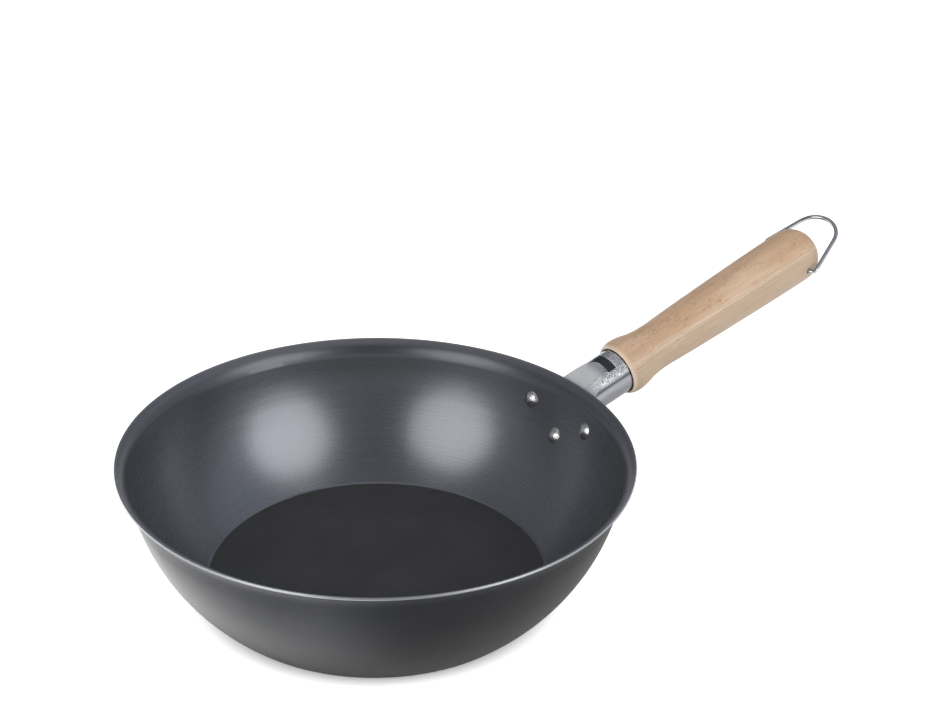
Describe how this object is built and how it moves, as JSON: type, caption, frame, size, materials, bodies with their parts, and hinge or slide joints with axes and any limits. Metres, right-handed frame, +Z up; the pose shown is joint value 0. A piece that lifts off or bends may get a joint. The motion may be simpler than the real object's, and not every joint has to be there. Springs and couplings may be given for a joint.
{
  "type": "wok",
  "caption": "Flat-bottomed carbon steel wok with a flared lip and a long turned wood handle in a riveted steel socket, with a wire hanging ring.",
  "frame": {"origin": "centre of the flat base where it rests on the hob", "axes": "+Z up out of the bowl, +X from the bowl's centre towards the handle"},
  "size_m": [0.5136, 0.2926, 0.1447],
  "materials": {
    "pan_steel": "dark nitrided, fine circular brushing inside",
    "plated_steel": "bright plated, slightly worn",
    "rivet_steel": "polished",
    "beech": "bare turned and sanded beech",
    "screw_steel": "plated",
    "ring_wire": "bright drawn wire",
    "label_foil": "blank foil with a dark band"
  },
  "bodies": {
    "wok": {"pan_body": "pan_steel", "handle_bracket": "plated_steel", "rivet_left": "rivet_steel", "rivet_right": "rivet_steel", "rivet_lower": "rivet_steel", "wood_grip": "beech", "grip_screw": "screw_steel", "socket_label": "label_foil"},
    "hanging_ring": {"hang_ring": "ring_wire"}
  },
  "joints": [
    {"name": "ring_pivot", "type": "hinge", "parent": "wok", "child": "hanging_ring", "pos_m": [0.33187, 0, 0.12237], "axis": [0.0446, -0.9857, -0.1625], "range_deg": [-159, 127]}
  ]
}
